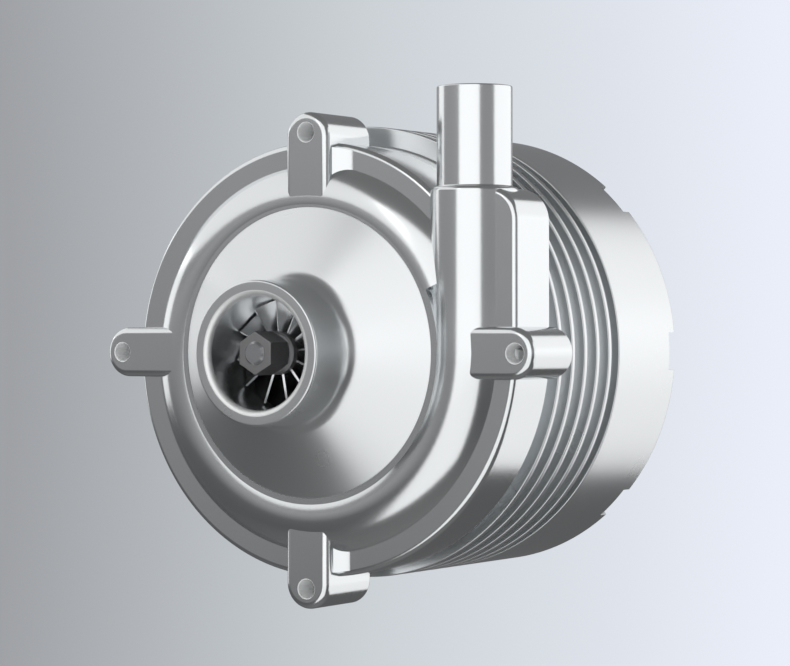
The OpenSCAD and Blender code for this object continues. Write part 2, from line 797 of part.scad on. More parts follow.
inlet_cover();
scroll_housing();
outlet_pipe();
impeller();
impeller_nut();
nut_washer();
back_plate();
back_plate_screws();
shaft_seal();
sealing_ring();
motor_housing();
shaft();
bearing_outer(front_bearing_y);  // front_bearing_outer
bearing_inner(front_bearing_y);  // front_bearing_inner
bearing_balls(front_bearing_y);  // front_bearing_balls
bearing_cage(front_bearing_y);  // front_bearing_cage
bearing_outer(rear_bearing_y);  // rear_bearing_outer
bearing_inner(rear_bearing_y);  // rear_bearing_inner
bearing_balls(rear_bearing_y);  // rear_bearing_balls
bearing_cage(rear_bearing_y);  // rear_bearing_cage
preload_spring();
rotor_core();
rotor_magnets();
magnet_sleeve();
stator_core();
slot_insulators();
windings();
end_shield();
end_shield_screws();
driver_board();
board_components();
board_standoffs();
board_screws();
phase_leads();
cover_posts();
rear_cover();
rear_cover_screws();
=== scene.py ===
import json
import math
import bpy
from mathutils import Matrix, Vector


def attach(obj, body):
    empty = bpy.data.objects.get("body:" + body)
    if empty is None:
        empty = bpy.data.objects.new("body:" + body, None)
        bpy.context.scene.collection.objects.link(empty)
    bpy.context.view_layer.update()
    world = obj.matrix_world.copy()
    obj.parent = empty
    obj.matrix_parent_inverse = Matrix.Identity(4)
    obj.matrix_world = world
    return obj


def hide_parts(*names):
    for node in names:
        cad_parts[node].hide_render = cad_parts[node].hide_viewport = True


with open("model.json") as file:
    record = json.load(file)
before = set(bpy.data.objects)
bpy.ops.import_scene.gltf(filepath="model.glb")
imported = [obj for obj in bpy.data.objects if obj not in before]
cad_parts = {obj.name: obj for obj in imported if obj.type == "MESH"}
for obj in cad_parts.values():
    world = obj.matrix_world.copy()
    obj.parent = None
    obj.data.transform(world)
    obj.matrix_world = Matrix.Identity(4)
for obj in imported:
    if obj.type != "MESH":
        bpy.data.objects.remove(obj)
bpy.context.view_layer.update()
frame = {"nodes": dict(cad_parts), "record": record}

mm = 0.001
weld = 0.00001    # points nearer than this become one
level = 0.000002   # points nearer than this to a plane lie in it
pastFace = 1.0     # how far a cutter runs past the face that it opens
scene = bpy.context.scene


# small helpers used by the pieces

def clearSelection():
    if bpy.context.object and bpy.context.object.mode != "OBJECT":
        bpy.ops.object.mode_set(mode="OBJECT")
    bpy.ops.object.select_all(action="DESELECT")


def makeActive(piece):
    clearSelection()
    piece.select_set(True)
    bpy.context.view_layer.objects.active = piece


def applyAll(piece):
    makeActive(piece)
    for modifier in list(piece.modifiers):
        bpy.ops.object.modifier_apply(modifier=modifier.name)


def smoothByAngle(piece, degrees):
    makeActive(piece)
    bpy.ops.object.shade_smooth_by_angle(angle=math.radians(degrees), keep_sharp_edges=False)


# a turned piece: one point is pushed out along the profile, then the profile is spun round the axis
def turnedPiece(name, profile, steps, centre=(0, 0, 0), axis="Y", closed=True):
    def place(point):
        if axis == "Y":
            return Vector((centre[0] + point[0] * mm, centre[1] + point[1] * mm, centre[2]))
        return Vector((centre[0] + point[0] * mm, centre[1], centre[2] + point[1] * mm))
    clearSelection()
    bpy.ops.mesh.primitive_plane_add(size=mm, location=place(profile[0]))
    piece = bpy.context.object
    piece.name = name
    bpy.ops.object.transform_apply(location=True, rotation=True, scale=True)
    bpy.ops.object.mode_set(mode="EDIT")
    bpy.ops.mesh.select_mode(type="VERT")
    bpy.ops.mesh.select_all(action="SELECT")
    bpy.ops.mesh.merge(type="CENTER")
    here = place(profile[0])
    for point in profile[1:]:
        there = place(point)
        bpy.ops.mesh.extrude_region_move(TRANSFORM_OT_translate={"value": there - here})
        here = there
    if closed:
        bpy.ops.mesh.extrude_region_move(TRANSFORM_OT_translate={"value": place(profile[0]) - here})
    bpy.ops.mesh.select_all(action="SELECT")
    bpy.ops.mesh.remove_doubles(threshold=weld)
    bpy.ops.mesh.select_all(action="SELECT")
    spinAxis = (0, 1, 0) if axis == "Y" else (0, 0, 1)
    bpy.ops.mesh.spin(steps=steps, angle=2 * math.pi, center=centre, axis=spinAxis)
    bpy.ops.mesh.select_all(action="SELECT")
    bpy.ops.mesh.remove_doubles(threshold=weld)
    bpy.ops.mesh.normals_make_consistent(inside=False)
    bpy.ops.object.mode_set(mode="OBJECT")
    return piece


def arcPoints(x, y, r, fromAngle, toAngle, steps):
    points = []
    for i in range(steps + 1):
        a = math.radians(fromAngle + (toAngle - fromAngle) * i / steps)
        points.append((x + r * math.cos(a), y + r * math.sin(a)))
    return points


# keeps flat faces flat beside rounded edges
def evenNormals(piece, degrees):
    smoothByAngle(piece, degrees)
    evened = piece.modifiers.new("evenNormals", "WEIGHTED_NORMAL")
    evened.weight = 60
    evened.keep_sharp = True
    applyAll(piece)


# shader groups that several finishes share

def newGroup(name, inputs, outputs):
    group = bpy.data.node_groups.new(name, "ShaderNodeTree")
    for label, kind, value in inputs:
        socket = group.interface.new_socket(name=label, in_out="INPUT", socket_type=kind)
        socket.default_value = value
    for label, kind in outputs:
        group.interface.new_socket(name=label, in_out="OUTPUT", socket_type=kind)
    return group, group.nodes.new("NodeGroupInput"), group.nodes.new("NodeGroupOutput")


def mathNode(tree, operation, a, b):
    node = tree.nodes.new("ShaderNodeMath")
    node.operation = operation
    for socket, value in zip(node.inputs, (a, b)):
        if isinstance(value, (int, float)):
            socket.default_value = value
        elif value is not None:
            tree.links.new(value, socket)
    return node.outputs[0]


# fine grain of a blasted or cast skin: tone, roughness and a shallow bump
grainSizes = {"fineDetail": 3, "broadScale": 45, "broadDetail": 2, "bumpDistance": 0.0001}


def buildSkinGrain(size):
    group, given, out = newGroup(
        "skinGrain",
        [("Scale", "NodeSocketFloat", 900.0), ("Colour", "NodeSocketColor", (0.7, 0.7, 0.7, 1)),
         ("Tone Spread", "NodeSocketFloat", 0.05), ("Roughness", "NodeSocketFloat", 0.3),
         ("Roughness Spread", "NodeSocketFloat", 0.06), ("Bump", "NodeSocketFloat", 0.02)],
        [("Colour", "NodeSocketColor"), ("Roughness", "NodeSocketFloat"), ("Normal", "NodeSocketVector")])
    tree = group
    place = tree.nodes.new("ShaderNodeTexCoord")
    fine = tree.nodes.new("ShaderNodeTexNoise")
    fine.inputs["Detail"].default_value = size["fineDetail"]
    tree.links.new(place.outputs["Object"], fine.inputs["Vector"])
    tree.links.new(given.outputs["Scale"], fine.inputs["Scale"])
    broad = tree.nodes.new("ShaderNodeTexNoise")
    broad.inputs["Scale"].default_value = size["broadScale"]
    broad.inputs["Detail"].default_value = size["broadDetail"]
    tree.links.new(place.outputs["Object"], broad.inputs["Vector"])
    spread = mathNode(tree, "SUBTRACT", broad.outputs["Fac"], 0.5)
    tone = mathNode(tree, "MULTIPLY", spread, given.outputs["Tone Spread"])
    shade = mathNode(tree, "ADD", tone, 1.0)
    tint = tree.nodes.new("ShaderNodeVectorMath")
    tint.operation = "SCALE"
    tree.links.new(given.outputs["Colour"], tint.inputs[0])
    tree.links.new(shade, tint.inputs["Scale"])
    tree.links.new(tint.outputs[0], out.inputs["Colour"])
    rough = mathNode(tree, "MULTIPLY", spread, given.outputs["Roughness Spread"])
    tree.links.new(mathNode(tree, "ADD", rough, given.outputs["Roughness"]), out.inputs["Roughness"])
    bump = tree.nodes.new("ShaderNodeBump")
    bump.inputs["Distance"].default_value = size["bumpDistance"]
    tree.links.new(given.outputs["Bump"], bump.inputs["Strength"])
    tree.links.new(fine.outputs["Fac"], bump.inputs["Height"])
    tree.links.new(bump.outputs["Normal"], out.inputs["Normal"])
    return group


# fine rings left by a lathe round the shaft's axis
ringSizes = {"pitch": 0.0003, "bumpDistance": 0.00005}


def buildLatheRings(size):
    group, given, out = newGroup(
        "latheRings",
        [("Pitch", "NodeSocketFloat", size["pitch"]), ("Strength", "NodeSocketFloat", 0.05),
         ("Normal", "NodeSocketVector", (0, 0, 0))],
        [("Normal", "NodeSocketVector")])
    tree = group
    place = tree.nodes.new("ShaderNodeTexCoord")
    split = tree.nodes.new("ShaderNodeSeparateXYZ")
    tree.links.new(place.outputs["Object"], split.inputs[0])
    squares = mathNode(tree, "ADD", mathNode(tree, "MULTIPLY", split.outputs[0], split.outputs[0]),
                       mathNode(tree, "MULTIPLY", split.outputs[2], split.outputs[2]))
    along = mathNode(tree, "ADD", mathNode(tree, "SQRT", squares, None), split.outputs[1])
    turns = mathNode(tree, "DIVIDE", along, given.outputs["Pitch"])
    noise = tree.nodes.new("ShaderNodeTexNoise")
    noise.noise_dimensions = "1D"
    noise.inputs["Scale"].default_value = 1.0
    tree.links.new(turns, noise.inputs["W"])
    bump = tree.nodes.new("ShaderNodeBump")
    bump.inputs["Distance"].default_value = size["bumpDistance"]
    tree.links.new(given.outputs["Strength"], bump.inputs["Strength"])
    tree.links.new(noise.outputs["Fac"], bump.inputs["Height"])
    tree.links.new(given.outputs["Normal"], bump.inputs["Normal"])
    tree.links.new(bump.outputs["Normal"], out.inputs["Normal"])
    return group


skinGrain = buildSkinGrain(grainSizes)
latheRings = buildLatheRings(ringSizes)


def newFinish(name, colour, metallic, roughness, grainScale=900.0, toneSpread=0.05, roughSpread=0.06,
              bump=0.02, lathe=0.0):
    material = bpy.data.materials.new(name)
    material.use_nodes = True
    tree = material.node_tree
    shader = tree.nodes["Principled BSDF"]
    shader.inputs["Metallic"].default_value = metallic
    grain = tree.nodes.new("ShaderNodeGroup")
    grain.node_tree = skinGrain
    grain.inputs["Scale"].default_value = grainScale
    grain.inputs["Colour"].default_value = (*colour, 1)
    grain.inputs["Tone Spread"].default_value = toneSpread
    grain.inputs["Roughness"].default_value = roughness
    grain.inputs["Roughness Spread"].default_value = roughSpread
    grain.inputs["Bump"].default_value = bump
    tree.links.new(grain.outputs["Colour"], shader.inputs["Base Color"])
    tree.links.new(grain.outputs["Roughness"], shader.inputs["Roughness"])
    if lathe > 0:
        rings = tree.nodes.new("ShaderNodeGroup")
        rings.node_tree = latheRings
        rings.inputs["Strength"].default_value = lathe
        tree.links.new(grain.outputs["Normal"], rings.inputs["Normal"])
        tree.links.new(rings.outputs["Normal"], shader.inputs["Normal"])
    else:
        tree.links.new(grain.outputs["Normal"], shader.inputs["Normal"])
    return material


satinSilver = newFinish("satinSilver", (0.80, 0.82, 0.83), 1.0, 0.18,
                        grainScale=1400, toneSpread=0.03, roughSpread=0.04, bump=0.05)
turnedSilver = newFinish("turnedSilver", (0.80, 0.82, 0.83), 1.0, 0.28,
                         grainScale=1400, toneSpread=0.03, roughSpread=0.04, bump=0.03, lathe=0.03)
# painted highlight: a paler, whiter finish for the inlet mouth's rounded inner edge
paintedHighlightEdge = newFinish("paintedHighlightEdge", (0.97, 0.98, 0.98), 0.9, 0.5,
                       grainScale=1600, toneSpread=0.02, roughSpread=0.04, bump=0.05)
# painted light: a pale, mostly matt finish that lightens the walls of the ear holes
paintedLightHoleWall = newFinish("paintedLightHoleWall", (0.93, 0.94, 0.94), 0.25, 0.55,
                        grainScale=1600, toneSpread=0.02, roughSpread=0.04, bump=0.05)
darkAlloy = newFinish("darkAlloy", (0.74, 0.75, 0.76), 1.0, 0.22, toneSpread=0.06, bump=0.05)
darkSteel = newFinish("darkSteel", (0.30, 0.30, 0.305), 0.9, 0.42, toneSpread=0.08, roughSpread=0.1, bump=0.08)
groundSteel = newFinish("groundSteel", (0.55, 0.56, 0.58), 1.0, 0.25,
                        grainScale=1200, roughSpread=0.05, bump=0.03)
sealRubber = newFinish("sealRubber", (0.02, 0.02, 0.022), 0.0, 0.6,
                       grainScale=700, toneSpread=0.1, roughSpread=0.1, bump=0.2)
cageBrass = newFinish("cageBrass", (0.62, 0.45, 0.18), 1.0, 0.3)
magnetSkin = newFinish("magnetSkin", (0.12, 0.12, 0.13), 0.8, 0.4)
slotPlastic = newFinish("slotPlastic", (0.75, 0.72, 0.62), 0.0, 0.5)
enamelCopper = newFinish("enamelCopper", (0.60, 0.25, 0.10), 0.9, 0.35,
                         grainScale=1500, toneSpread=0.15, roughSpread=0.1, bump=0.3)
boardGreen = newFinish("boardGreen", (0.02, 0.12, 0.05), 0.0, 0.35,
                       grainScale=1500, toneSpread=0.2, roughSpread=0.1, bump=0.1)
chipBlack = newFinish("chipBlack", (0.02, 0.02, 0.022), 0.0, 0.5)
leadRed = newFinish("leadRed", (0.45, 0.04, 0.03), 0.0, 0.45)

finishOfSlot = {
    "silver": satinSilver, "dark_alloy": darkAlloy, "dark_steel": darkSteel, "steel": groundSteel,
    "seal": sealRubber, "cage": cageBrass, "magnet": magnetSkin, "insulator": slotPlastic,
    "copper": enamelCopper, "board": boardGreen, "component": chipBlack, "brass": cageBrass, "lead": leadRed}
for entry in frame["record"]["subparts"]:
    node = frame["nodes"][entry["node"]]
    node.data.materials.clear()
    node.data.materials.append(finishOfSlot[entry["material_slot"]])
print("finishes are on the packed solids")


# gives a piece its finish and its body, and hides the imported solids it stands for
def finishPiece(piece, material, body, nodes):
    piece.data.materials.clear()
    piece.data.materials.append(material)
    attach(piece, body)
    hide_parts(*nodes)


# the cast scroll housing: scroll and duct, ring, flange with its lug, and four ears
castingSizes = {
    "ringR": 32.9, "ringIn": 31.42, "ringLap": 0.1, "ringShort": 0.2, "ringSteps": 160, "depth": 17.5,
    "tubeR": 9.6, "swell": 4.1, "swellFrom": 90, "tubeLift": 0.05, "tubeFrom": 24, "tubeSteps": 112, "sides": 80,
    "lipR": 29.6, "lipY": 13.5, "passageR": 31.1, "passageY": 5.2,
    "ductY": 8.681, "ductTop": 34.9, "seatR": 7.85, "seatZ": 22.9, "channelR": 6.4, "channelZ": 2.0,
    "flangeR": 47.1, "flangeStep": 1.45, "flangeFront": 3.6, "flangeRound": 1.2, "flangeRoundSteps": 6,
    "quarterSteps": 56, "lugTop": 34.7, "lugCorner": 7.0, "lugIn": 32.3, "lugSteps": 16,
    "earHalf": 5.5, "earRound": 1.5, "earRoundSteps": 7, "earRearRound": 0.5, "earRearSteps": 3, "earTip": 4.4,
    "earBack": 17.3, "tipSteps": 32,
    "holeR": 2.1, "holeDepth": 12.0, "holeMouth": 0.15, "holePoint": 0.6, "holeSteps": 40, "holePaintedLightDepth": 14.5,
    "blendSlope": 37, "blendSteps": 12, "blendSink": 0.05, "blendLap": 0.3, "blendRim": 1.025, "sharpAngle": 32}
# the duct's height and radius, up to its rounded top
ductRise = [(3, 9.58), (6, 9.52), (9, 9.45), (12, 9.41), (16, 9.4), (34.0, 9.4), (34.28, 9.356), (34.54, 9.23),
            (34.74, 9.04), (34.86, 8.78), (34.9, 8.5)]
# each ear by its angle: how far out its hole is, and where its bar starts
earReach = {0: 51.5, 90: 47.5, 180: 49.6, 270: 50.9}
earRoot = {0: 34.0, 90: 31.9, 180: 34.0, 270: 34.0}
# the hollow blends by the flange's quarter: how wide, and the height that they start from
blends = {0: {"wide": 5.3, "fromZ": 37.0}, 3: {"wide": 4.3, "fromZ": -39.0}}


# the scroll is one ring spun on in small turns and moved outwards a little at each, then drawn up as the duct
def makeScroll(size):
    def swell(t):
        return size["swell"] * max(0, t - size["swellFrom"]) / (360 - size["swellFrom"])

    def middle(t):
        a = math.radians(t)
        out = size["ringR"] + swell(t)
        depth = math.sqrt(size["tubeR"] ** 2 - swell(t) ** 2) - size["tubeLift"]
        return Vector((out * math.cos(a), depth, out * math.sin(a))) * mm

    start = size["tubeFrom"]
    clearSelection()
    bpy.ops.mesh.primitive_circle_add(vertices=size["sides"], radius=size["tubeR"] * mm, fill_type="NOTHING",
                                      location=middle(start), rotation=(0, -math.radians(start), 0))
    scroll = bpy.context.object
    bpy.ops.object.transform_apply(location=True, rotation=True, scale=True)
    bpy.ops.object.mode_set(mode="EDIT")
    bpy.ops.mesh.select_all(action="SELECT")
    turn = (360 - start) / size["tubeSteps"]
    oneTurn = Matrix.Rotation(-math.radians(turn), 3, "Y")
    for i in range(size["tubeSteps"]):
        here = middle(start + turn * i)
        bpy.ops.mesh.spin(steps=1, angle=math.radians(turn), center=(0, 0, 0), axis=(0, 1, 0))
        bpy.ops.transform.translate(value=middle(start + turn * (i + 1)) - oneTurn @ here)
    foot = middle(360)
    z, r = 0.0, size["tubeR"]
    sideways = Vector((0, size["ductY"] * mm - foot.y, 0))
    inside = [(size["ductTop"], size["seatR"]), (size["seatZ"], size["seatR"]), (size["seatZ"], size["channelR"]),
              (size["channelZ"], size["channelR"])]
    for nextZ, nextR in ductRise + inside:
        upwards = Vector((0, 0, (nextZ - z) * mm))
        bpy.ops.mesh.extrude_region_move(TRANSFORM_OT_translate={"value": sideways + upwards})
        bpy.ops.transform.resize(value=(nextR / r, nextR / r, 1),
                                 center_override=(foot.x, size["ductY"] * mm, nextZ * mm))
        sideways = Vector((0, 0, 0))
        z, r = nextZ, nextR
    closeShell()
    return scroll


# closes the open ends of the mesh in hand and turns its faces outwards
def closeShell():
    bpy.ops.mesh.select_all(action="SELECT")
    bpy.ops.mesh.remove_doubles(threshold=level / 2)
    bpy.ops.mesh.select_all(action="DESELECT")
    bpy.ops.mesh.select_mode(type="EDGE")
    bpy.ops.mesh.select_non_manifold()
    bpy.ops.mesh.fill_holes(sides=0)
    bpy.ops.mesh.select_all(action="SELECT")
    bpy.ops.mesh.normals_make_consistent(inside=False)
    bpy.ops.object.mode_set(mode="OBJECT")


# selects the edges that lie at one depth and rounds them
def roundEdgesAt(piece, depth, width, segments):
    bpy.ops.object.mode_set(mode="EDIT")
    bpy.ops.mesh.select_mode(type="EDGE")
    bpy.ops.mesh.select_all(action="DESELECT")
    bpy.ops.object.mode_set(mode="OBJECT")
    points = piece.data.vertices
    for edge in piece.data.edges:
        edge.select = all(abs(points[i].co.y - depth * mm) < level for i in edge.vertices)
    bpy.ops.object.mode_set(mode="EDIT")
    bpy.ops.mesh.bevel(offset=width * mm, segments=segments, affect="EDGES")
    bpy.ops.object.mode_set(mode="OBJECT")


# a slab: its outline is drawn point by point, filled and drawn back
def slabPiece(name, outline, front, back):
    def place(point):
        return Vector((point[0] * mm, front * mm, point[1] * mm))
    clearSelection()
    bpy.ops.mesh.primitive_plane_add(size=mm, location=place(outline[0]))
    piece = bpy.context.object
    piece.name = name
    bpy.ops.object.transform_apply(location=True, rotation=True, scale=True)
    bpy.ops.object.mode_set(mode="EDIT")
    bpy.ops.mesh.select_mode(type="VERT")
    bpy.ops.mesh.select_all(action="SELECT")
    bpy.ops.mesh.merge(type="CENTER")
    here = place(outline[0])
    for point in outline[1:]:
        there = place(point)
        bpy.ops.mesh.extrude_region_move(TRANSFORM_OT_translate={"value": there - here})
        here = there
    bpy.ops.mesh.select_all(action="SELECT")
    bpy.ops.mesh.edge_face_add()
    bpy.ops.mesh.extrude_region_move(TRANSFORM_OT_translate={"value": Vector((0, (back - front) * mm, 0))})
    bpy.ops.mesh.select_all(action="SELECT")
    bpy.ops.mesh.normals_make_consistent(inside=False)
    bpy.ops.object.mode_set(mode="OBJECT")
    return piece


# the middle and radius of one quarter of the flange, which grows by a step each quarter
def flangeQuarter(size, quarter):
    h = size["flangeStep"] / 2
    middle = [(-h, h), (-h, -h), (h, -h), (h, h)][quarter]
    return middle, size["flangeR"] - h + (quarter - 1) * size["flangeStep"]


def makeFlange(size):
    outline = []
    for quarter in range(4):
        middle, r = flangeQuarter(size, quarter)
        start = quarter * 90
        if quarter == 0:
            start = math.degrees(math.acos((size["lugIn"] - middle[0]) / r))
        arc = arcPoints(*middle, r, start, (quarter + 1) * 90, size["quarterSteps"])
        outline += arc if quarter == 0 else arc[1:]
    corner = size["lugCorner"]
    outline += arcPoints(middle[0] + r - corner, size["lugTop"] - corner, corner, 0, 90, size["lugSteps"])
    outline.append((size["lugIn"], size["lugTop"]))
    flange = slabPiece("flange", outline, size["flangeFront"], size["depth"])
    roundEdgesAt(flange, size["flangeFront"], size["flangeRound"], size["flangeRoundSteps"])
    return flange


# one ear along +X with its drilled hole, then turned to its place
def makeEar(size, reach, root, angle):
    half = size["earHalf"]
    tip = reach + size["earTip"] - half
    outline = [(root, -half)] + arcPoints(tip, 0, half, -90, 90, size["tipSteps"]) + [(root, half)]
    ear = slabPiece("ear", outline, 0, size["earBack"])
    roundEdgesAt(ear, 0, size["earRound"], size["earRoundSteps"])
    roundEdgesAt(ear, size["earBack"], size["earRearRound"], size["earRearSteps"])
    r, mouth, deep = size["holeR"], size["holeMouth"], size["holeDepth"]
    profile = [(0, -pastFace), (r + mouth + pastFace, -pastFace), (r + mouth, 0), (r, mouth), (r, deep),
               (0, deep + r * size["holePoint"])]
    drill = turnedPiece("drill", profile, size["holeSteps"], closed=False)
    drill.location = (reach * mm, 0, 0)
    makeActive(drill)
    bpy.ops.object.transform_apply(location=True, rotation=True, scale=True)
    trim = ear.modifiers.new("hole", "BOOLEAN")
    trim.operation = "DIFFERENCE"
    trim.solver = "EXACT"
    trim.object = drill
    applyAll(ear)
    bpy.data.objects.remove(drill)
    ear.rotation_euler = (0, -math.radians(angle), 0)
    makeActive(ear)
    bpy.ops.object.transform_apply(location=True, rotation=True, scale=True)
    return ear


# the hollow blend at the right side of an upright ear: drawn lying down, stood up, and cut to the flange's rim
def makeBlend(size, quarter, wide, fromZ):
    half, floor = size["earHalf"], size["flangeFront"] + size["blendSink"]
    r = wide / math.sin(math.radians(size["blendSlope"]))
    curve = []
    for i in range(size["blendSteps"], -1, -1):
        a = math.radians(size["blendSlope"] * i / size["blendSteps"])
        curve.append((half + wide - r * math.sin(a), r - r * math.cos(a) - floor))
    inner = half - size["blendLap"]
    outline = [(inner, -floor), (inner, curve[0][1])] + curve
    (rimX, rimZ), rimR = flangeQuarter(size, quarter)
    side = 1 if fromZ > 0 else -1
    farZ = side * (rimR + 1)
    blend = slabPiece("blend", outline, min(fromZ, farZ), max(fromZ, farZ))
    blend.rotation_euler = (math.pi / 2, 0, 0)
    makeActive(blend)
    bpy.ops.object.transform_apply(location=True, rotation=True, scale=True)
    for vertex in blend.data.vertices:
        if abs(vertex.co.z - farZ * mm) < weld:
            reach = math.sqrt((rimR - size["blendRim"]) ** 2 - (vertex.co.x / mm - rimX) ** 2)
            vertex.co.z = (rimZ + side * reach) * mm
    return blend


def makeCastingRing(size):
    outside = size["ringR"] + size["ringLap"]
    back = size["depth"] - size["ringShort"]
    profile = [(size["ringIn"], 0), (outside, 0), (outside, back), (size["lipR"], back),
               (size["lipR"], size["lipY"]), (size["passageR"], size["lipY"]), (size["passageR"], size["passageY"]),
               (size["ringIn"], size["passageY"])]
    return turnedPiece("castingRing", profile, size["ringSteps"])


scrollHousing = makeScroll(castingSizes)
parts = [makeCastingRing(castingSizes), makeFlange(castingSizes)]
for earAngle, reach in earReach.items():
    parts.append(makeEar(castingSizes, reach, earRoot[earAngle], earAngle))
for quarter, blend in blends.items():
    parts.append(makeBlend(castingSizes, quarter, **blend))
for part in parts + [scrollHousing]:
    evenNormals(part, castingSizes["sharpAngle"])
clearSelection()
for part in parts + [scrollHousing]:
    part.select_set(True)
bpy.context.view_layer.objects.active = scrollHousing
bpy.ops.object.join()
scrollHousing.name = "scrollHousing"
finishPiece(scrollHousing, satinSilver, "housing", ["scroll_housing"])
scrollHousing.data.materials.append(paintedLightHoleWall)   # painted light: the hole walls get a pale, mostly matt finish, lighter than the cast skin
holes = [(reach * mm * math.cos(math.radians(a)), reach * mm * math.sin(math.radians(a)))
         for a, reach in earReach.items()]
# the faces of the hole walls, down to the set depth, take the painted light
for face in scrollHousing.data.polygons:
    middle = face.center
    fromHole = min(math.hypot(middle.x - x, middle.z - z) for x, z in holes)
    wallR = (castingSizes["holeR"] + castingSizes["holeMouth"] + 0.05) * mm
    if weld < middle.y < castingSizes["holePaintedLightDepth"] * mm and fromHole < wallR:
        face.material_index = 1
print("casting is in place")

# the turned inlet cover: rim, tube, hollow flare, cone, and the throat behind it
coverSizes = {
    "reach": 19.3, "tubeR": 15.4, "boreR": 12.0, "outerRound": 0.5, "innerRound": 1.3, "roundSteps": 8,
    "flare": 4.0, "flareSteps": 28, "coneRise": 6.6, "coneR": 31.38, "coneFit": 0.02, "coneInset": 1.0,
    "lipR": 0.15, "lipY": 0.06, "lipIn": 0.05, "throatY": -8.4, "passageY": 5.2, "shroudX": 26.5,
    "shroudSteps": 24, "steps": 192, "sharpAngle": 32}


def makeInletCover(size):
    coneEnd = size["coneR"] + size["coneFit"]
    slope = math.degrees(math.atan2(size["coneRise"], coneEnd - size["tubeR"] - size["coneInset"]))
    flareX = size["tubeR"] + size["flare"]
    flareR = flareX - size["flare"] * math.sin(math.radians(slope))
    flareY = -(coneEnd - flareR) * math.tan(math.radians(slope))
    flareMid = flareY - size["flare"] * math.cos(math.radians(slope))
    profile = arcPoints(size["boreR"] + size["innerRound"], size["innerRound"] - size["reach"],
                        size["innerRound"], 180, 270, size["roundSteps"])
    profile += arcPoints(size["tubeR"] - size["outerRound"], size["outerRound"] - size["reach"],
                         size["outerRound"], 270, 360, size["roundSteps"])
    profile += arcPoints(flareX, flareMid, size["flare"], 180, 90 + slope, size["flareSteps"])
    profile.append((size["coneR"] - size["lipR"], -size["lipY"]))
    profile += [(size["coneR"], size["lipIn"]), (size["coneR"], size["passageY"])]
    shroudR = size["shroudX"] - size["boreR"]
    for i in range(size["shroudSteps"], -1, -1):
        a = math.radians(i * 90 / size["shroudSteps"])
        profile.append((size["shroudX"] - shroudR * math.cos(a),
                        size["throatY"] + (size["passageY"] - size["throatY"]) * math.sin(a)))
    return turnedPiece("inletCover", profile, size["steps"])


inletCover = makeInletCover(coverSizes)
evenNormals(inletCover, coverSizes["sharpAngle"])
finishPiece(inletCover, turnedSilver, "housing", ["inlet_cover"])
inletCover.data.materials.append(paintedHighlightEdge)   # painted highlight: the mouth's rounded inner edge gets a paler, whiter finish all round
# the faces of the mouth's inner round take the painted highlight
mouthR = (coverSizes["boreR"] + coverSizes["innerRound"] - 0.02) * mm
mouthY = (coverSizes["innerRound"] - coverSizes["reach"]) * mm
for face in inletCover.data.polygons:
    if face.center.y < mouthY and math.hypot(face.center.x, face.center.z) < mouthR:
        face.material_index = 1
print("inlet cover is in place")

# the motor's barrel: finned front half, plain rear half, notched rim
barrelSizes = {
    "front": 17.5, "neckR": 45.6, "outerR": 50.0, "finCount": 5, "finStart": 22.3, "finPitch": 5.7, "finT": 1.4,
    "edge": 0.3, "barrelStart": 50.0, "end": 78.3, "boreR": 46.2, "bottom": 56.5, "innerR": 41.5, "wall": 21.0,
    "shaftR": 9.0, "notchCount": 8, "notchW": 8.6, "notchDepth": 3.3, "notchCut": 12.0, "bossR": 14.0,
    "bearingR": 11.0, "bossEnd": 28.0, "foot": 0.35, "edgeSteps": 3, "rimSteps": 4, "steps": 240, "sharpAngle": 35}


def makeMotorBarrel(size):
    e, foot = size["edge"], size["foot"]
    outer, neck = size["outerR"], size["neckR"]

    def riseAt(y):   # up from the groove, over a small foot and a rounded front edge
        return [(neck, y - foot), (neck + foot, y)] + arcPoints(outer - e, y + e, e, 270, 360, size["edgeSteps"])

    profile = [(size["shaftR"], size["front"]), (neck, size["front"])]
    for i in range(size["finCount"]):
        y = size["finStart"] + i * size["finPitch"]
        profile += riseAt(y)
        y += size["finT"]
        profile += arcPoints(outer - e, y - e, e, 0, 90, size["edgeSteps"])
        profile += [(neck + foot, y), (neck, y + foot)]
    profile += riseAt(size["barrelStart"])
    profile += arcPoints(outer - 2 * e, size["end"] - 2 * e, 2 * e, 0, 90, size["rimSteps"])
    profile += [(size["boreR"], size["end"]), (size["boreR"], size["bottom"]), (size["innerR"], size["bottom"]),
                (size["innerR"], size["wall"]), (size["bossR"], size["wall"]), (size["bossR"], size["bossEnd"]),
                (size["bearingR"], size["bossEnd"]), (size["bearingR"], size["wall"]), (size["shaftR"], size["wall"])]
    barrel = turnedPiece("motorBarrel", profile, size["steps"])
    clearSelection()
    cutters = []
    for i in range(size["notchCount"]):
        bpy.ops.mesh.primitive_cube_add(size=mm)
        cutter = bpy.context.object
        cutter.scale = (size["notchCut"], 2 * size["notchDepth"], size["notchW"])
        a = 2 * math.pi * i / size["notchCount"]
        cutter.location = (outer * mm * math.cos(a), size["end"] * mm, outer * mm * math.sin(a))
        cutter.rotation_euler = (0, -a, 0)
        cutters.append(cutter)
    clearSelection()
    for cutter in cutters:
        cutter.select_set(True)
    bpy.context.view_layer.objects.active = cutters[0]
    bpy.ops.object.join()
    cutter = bpy.context.object
    bpy.ops.object.transform_apply(location=True, rotation=True, scale=True)
    trim = barrel.modifiers.new("notches", "BOOLEAN")
    trim.operation = "DIFFERENCE"
    trim.solver = "EXACT"
    trim.object = cutter
    applyAll(barrel)
    bpy.data.objects.remove(cutter)
    return barrel


motorBarrel = makeMotorBarrel(barrelSizes)
evenNormals(motorBarrel, barrelSizes["sharpAngle"])
finishPiece(motorBarrel, turnedSilver, "housing", ["motor_housing"])


# the outlet pipe with a bead where it enters the duct
pipeSizes = {
    "x": 37.0, "y": 8.681, "r": 8.0, "wall": 1.0, "top": 56.2, "duct": 34.9, "seat": 12.0, "shoulder": 0.2,
    "bead": 0.35, "beadFlat": 0.4, "outerRound": 0.3, "innerRound": 0.25, "roundSteps": 4, "steps": 128,
    "sharpAngle": 35}


